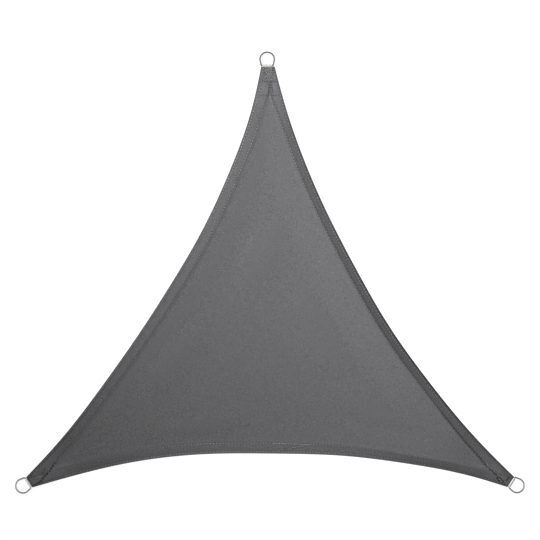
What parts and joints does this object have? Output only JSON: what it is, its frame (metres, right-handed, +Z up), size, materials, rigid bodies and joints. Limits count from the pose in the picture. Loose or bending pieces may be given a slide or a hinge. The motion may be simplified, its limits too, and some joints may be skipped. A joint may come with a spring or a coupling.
{
  "type": "triangular shade sail",
  "caption": "Triangular fabric shade sail with inward-bowed hemmed edges and a steel D-ring held by a webbing loop at each corner.",
  "frame": {"origin": "middle of the whole footprint, rings and all, on the surface that the sail lies on", "axes": "+Z up out of the sail's face, +Y towards the top corner, +X to the right seen face on, along the bottom side"},
  "size_m": [2.1058, 1.8268, 0.011],
  "materials": {
    "cloth": "matt woven polyester, charcoal grey",
    "webbing": "woven webbing, off-white",
    "steel": "polished stainless wire"
  },
  "bodies": {
    "root": {"sail_cloth": "cloth", "webbing_loop_top": "webbing", "webbing_loop_left": "webbing", "webbing_loop_right": "webbing", "ring_top": "steel", "ring_left": "steel", "ring_right": "steel"}
  },
  "joints": []
}
